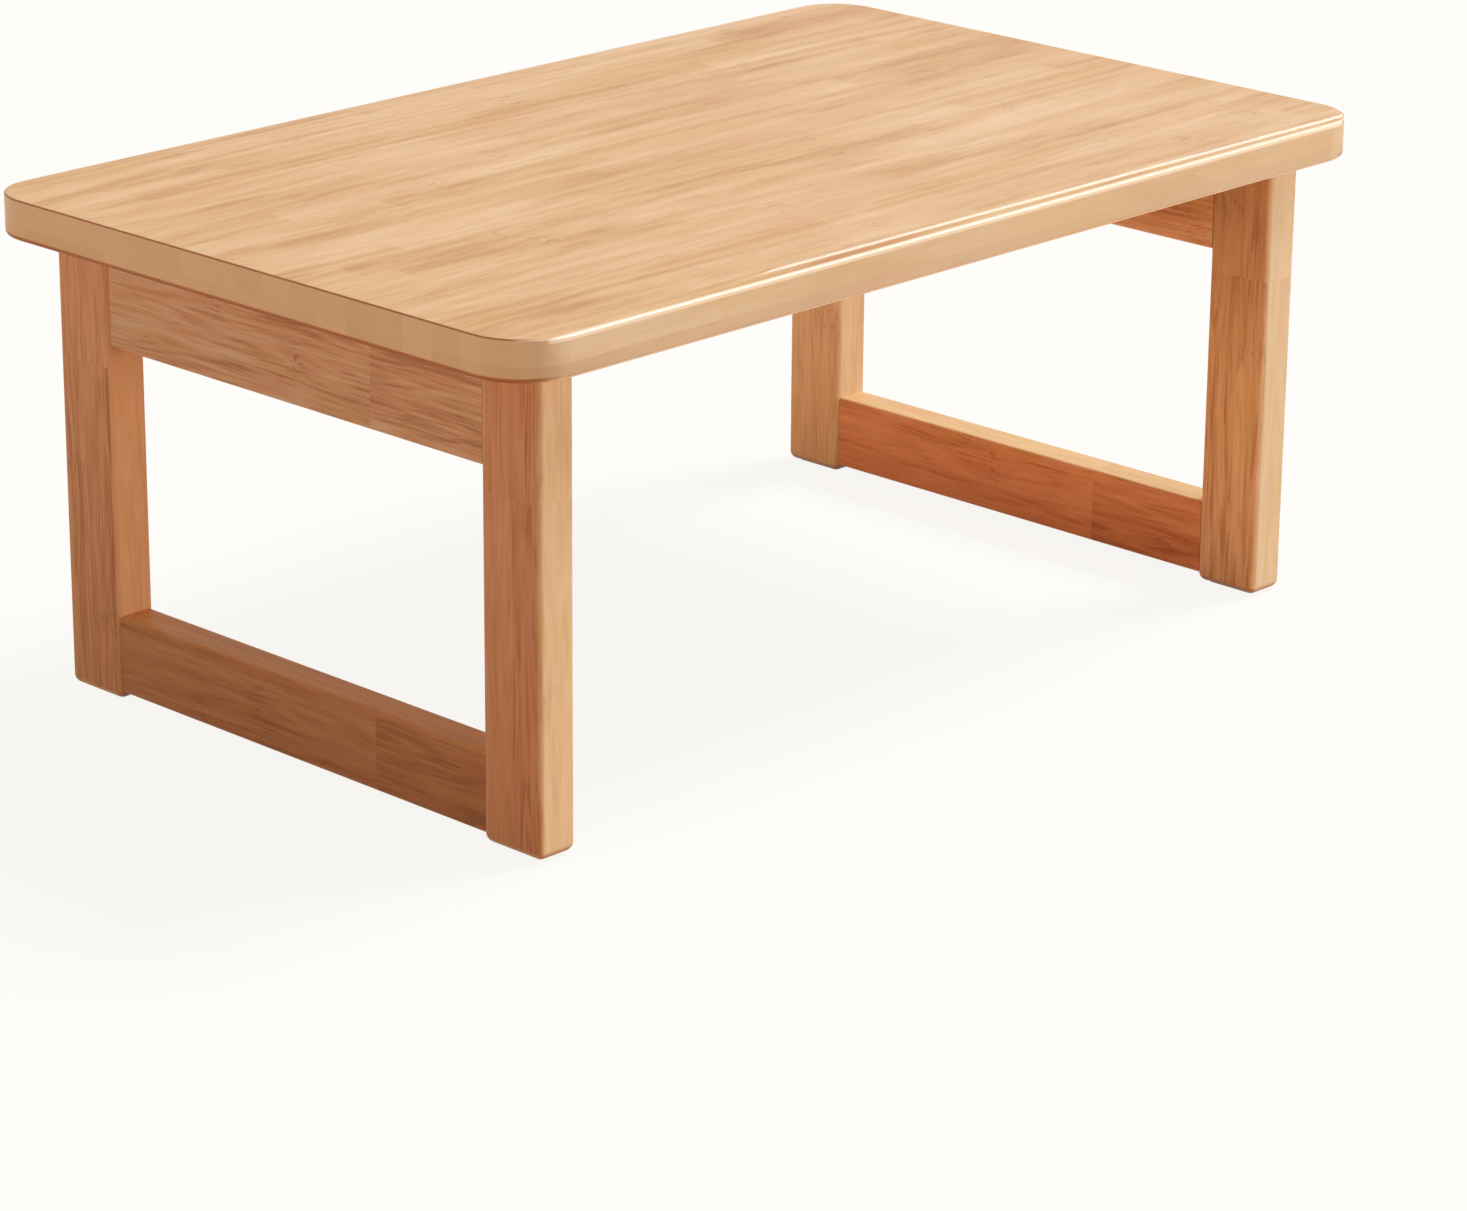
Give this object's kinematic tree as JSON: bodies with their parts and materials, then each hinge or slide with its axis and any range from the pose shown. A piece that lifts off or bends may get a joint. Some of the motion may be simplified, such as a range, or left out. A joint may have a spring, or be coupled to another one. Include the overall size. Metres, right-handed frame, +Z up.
{
  "type": "folding floor table",
  "caption": "Low folding floor table: rounded bamboo top with an edge lip, carried by open leg frames that fold flat inward on sprung steel brackets.",
  "frame": {"origin": "on the floor, under the middle of the table top", "axes": "+X along the long side, +Y across towards the rear, +Z up"},
  "size_m": [0.8, 0.5, 0.34],
  "materials": {
    "bamboo_panel": "laminated bamboo strips, satin lacquer",
    "bamboo_edge": "bamboo edge strip, satin lacquer",
    "bamboo_frame": "laminated bamboo bars, satin lacquer",
    "felt": "pressed dark felt",
    "bracket_steel": "zinc plated sheet steel",
    "pin_steel": "zinc plated, riveted over",
    "spring_steel": "blued spring steel",
    "screw_steel": "yellow zinc plated wood screws"
  },
  "bodies": {
    "top": {"top_panel": "bamboo_panel", "front_edge_strip": "bamboo_edge", "rear_edge_strip": "bamboo_edge", "left_edge_strip": "bamboo_edge", "right_edge_strip": "bamboo_edge", "left_front_top_bracket": "bracket_steel", "left_front_hinge_pin": "pin_steel", "left_front_detent_spring": "spring_steel", "left_rear_top_bracket": "bracket_steel", "left_rear_hinge_pin": "pin_steel", "left_rear_detent_spring": "spring_steel", "left_top_bracket_screws": "screw_steel", "left_spring_rivets": "pin_steel", "right_front_top_bracket": "bracket_steel", "right_front_hinge_pin": "pin_steel", "right_front_detent_spring": "spring_steel", "right_rear_top_bracket": "bracket_steel", "right_rear_hinge_pin": "pin_steel", "right_rear_detent_spring": "spring_steel", "right_top_bracket_screws": "screw_steel", "right_spring_rivets": "pin_steel"},
    "left_frame": {"left_upper_rail": "bamboo_frame", "left_lower_rail": "bamboo_frame", "left_front_post": "bamboo_frame", "left_rear_post": "bamboo_frame", "left_front_foot_pad": "felt", "left_front_leg_bracket": "bracket_steel", "left_rear_foot_pad": "felt", "left_rear_leg_bracket": "bracket_steel", "left_leg_bracket_screws": "screw_steel"},
    "right_frame": {"right_upper_rail": "bamboo_frame", "right_lower_rail": "bamboo_frame", "right_front_post": "bamboo_frame", "right_rear_post": "bamboo_frame", "right_front_foot_pad": "felt", "right_front_leg_bracket": "bracket_steel", "right_rear_foot_pad": "felt", "right_rear_leg_bracket": "bracket_steel", "right_leg_bracket_screws": "screw_steel"}
  },
  "joints": [
    {"name": "left_fold", "type": "hinge", "parent": "top", "child": "left_frame", "pos_m": [-0.3225, 0, 0.3138], "axis": [0, -1, 0], "range_deg": [0, 90], "deforming": ["left_front_detent_spring", "left_rear_detent_spring"]},
    {"name": "right_fold", "type": "hinge", "parent": "top", "child": "right_frame", "pos_m": [0.3225, 0, 0.3138], "axis": [0, 1, 0], "range_deg": [0, 90], "deforming": ["right_front_detent_spring", "right_rear_detent_spring"]}
  ]
}
